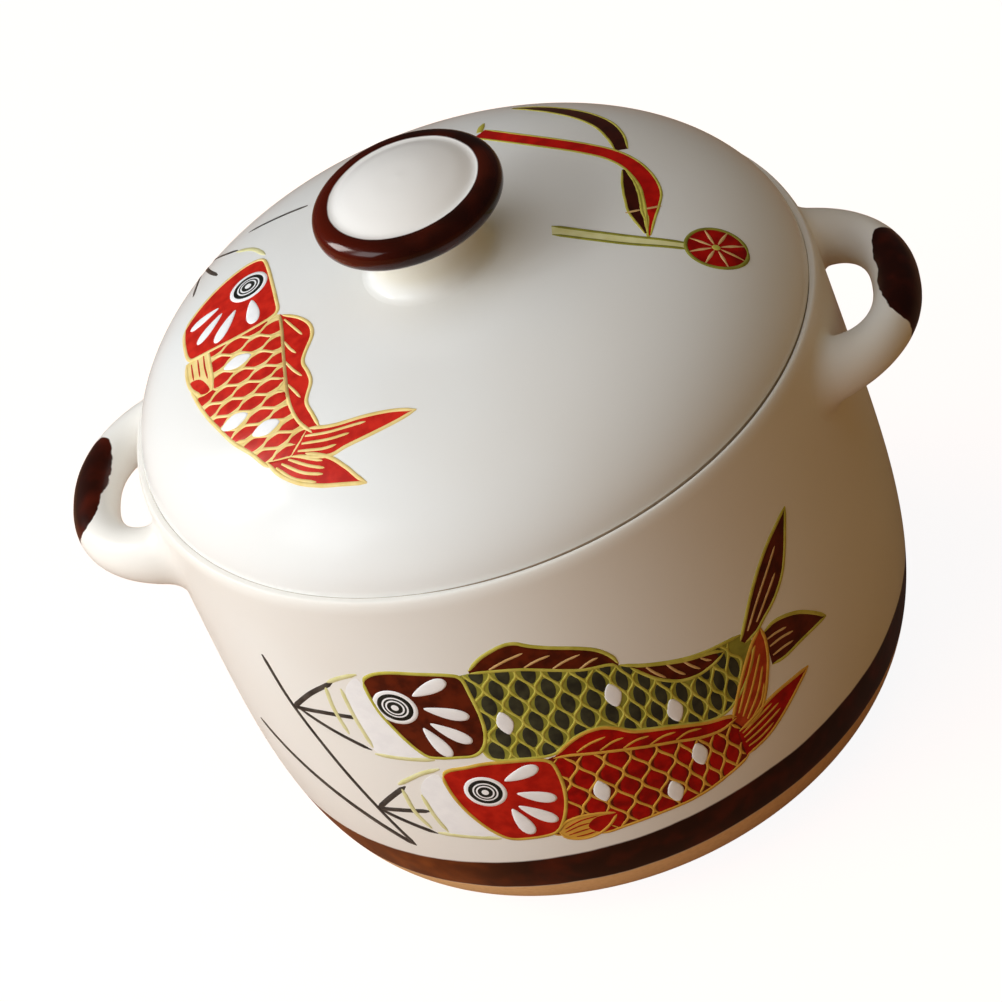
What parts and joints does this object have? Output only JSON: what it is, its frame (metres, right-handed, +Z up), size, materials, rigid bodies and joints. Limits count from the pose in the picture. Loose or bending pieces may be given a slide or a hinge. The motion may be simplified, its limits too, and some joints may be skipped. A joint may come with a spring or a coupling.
{
  "type": "clay pot",
  "caption": "Round glazed clay cooking pot with a loop handle on either side, a flat rim seat and a domed lift-off lid with a mushroom knob.",
  "frame": {"origin": "on the table plane under the pot's axis", "axes": "+Z up along the pot's axis, +X through the right-hand handle"},
  "size_m": [0.249, 0.2008, 0.203],
  "materials": {
    "pot_glaze": "gloss cream glaze with a dark brown band and painted figures",
    "bare_clay": "bare fired clay",
    "handle_glaze": "gloss cream glaze with a dark brown brushed patch",
    "lid_glaze": "gloss cream glaze with painted figures",
    "collar_clay": "wiped clay, matt",
    "knob_glaze": "gloss dark brown rim and cream top face"
  },
  "bodies": {
    "pot": {"pot_body": "pot_glaze", "foot_ring": "bare_clay", "right_handle": "handle_glaze", "left_handle": "handle_glaze"},
    "lid": {"lid_dome": "lid_glaze", "lid_collar": "collar_clay", "knob_stem": "lid_glaze", "knob_cap": "knob_glaze"}
  },
  "joints": [
    {"name": "lid_lift", "type": "slide", "parent": "pot", "child": "lid", "axis": [0, 0, 1], "range_m": [0, 0.12]}
  ]
}
